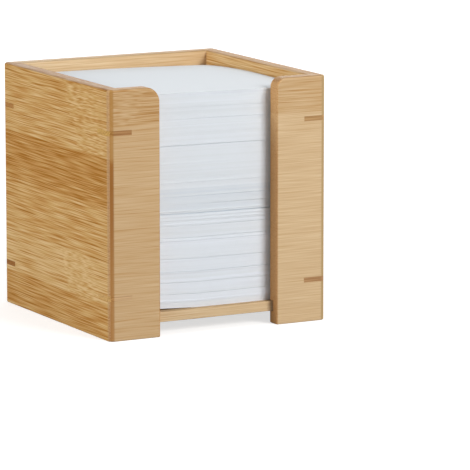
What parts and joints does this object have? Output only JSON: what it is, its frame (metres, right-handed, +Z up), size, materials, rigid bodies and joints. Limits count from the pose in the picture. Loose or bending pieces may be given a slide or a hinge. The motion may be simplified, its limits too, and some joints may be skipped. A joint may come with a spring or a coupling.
{
  "type": "memo cube",
  "caption": "Square open-topped bamboo desk box with a wide finger gap in its front, holding a tall stack of loose white memo sheets.",
  "frame": {"origin": "middle of the footprint, on the table that the box stands on", "axes": "+Z up; the open front with the finger gap faces -Y; +X to the right as seen from the front"},
  "size_m": [0.105, 0.105, 0.1078],
  "materials": {
    "side_bamboo": "satin lacquer",
    "front_bamboo": "satin lacquer",
    "key_bamboo": "satin lacquer",
    "memo_paper": "matt"
  },
  "bodies": {
    "note_box": {"back_panel": "side_bamboo", "left_side_panel": "side_bamboo", "right_side_panel": "side_bamboo", "left_front_strip": "front_bamboo", "right_front_strip": "front_bamboo", "base_board": "front_bamboo", "front_left_lower_key": "key_bamboo", "front_left_upper_key": "key_bamboo", "front_right_lower_key": "key_bamboo", "front_right_upper_key": "key_bamboo", "back_left_lower_key": "key_bamboo", "back_left_upper_key": "key_bamboo", "back_right_lower_key": "key_bamboo", "back_right_upper_key": "key_bamboo"},
    "sheet_stack": {"sheet_bundle_01": "memo_paper", "sheet_bundle_02": "memo_paper", "sheet_bundle_03": "memo_paper", "sheet_bundle_04": "memo_paper", "sheet_bundle_05": "memo_paper", "sheet_bundle_06": "memo_paper", "sheet_bundle_07": "memo_paper", "sheet_bundle_08": "memo_paper", "sheet_bundle_09": "memo_paper", "sheet_bundle_10": "memo_paper", "sheet_bundle_11": "memo_paper", "sheet_bundle_12": "memo_paper", "sheet_bundle_13": "memo_paper"},
    "loose_top_sheet": {"top_sheet": "memo_paper"}
  },
  "joints": [
    {"name": "stack_lift", "type": "slide", "parent": "note_box", "child": "sheet_stack", "axis": [0, 0, 1], "range_m": [0, 0.11]},
    {"name": "top_sheet_lift", "type": "slide", "parent": "sheet_stack", "child": "loose_top_sheet", "axis": [0, 0, 1], "range_m": [0, 0.025]}
  ]
}
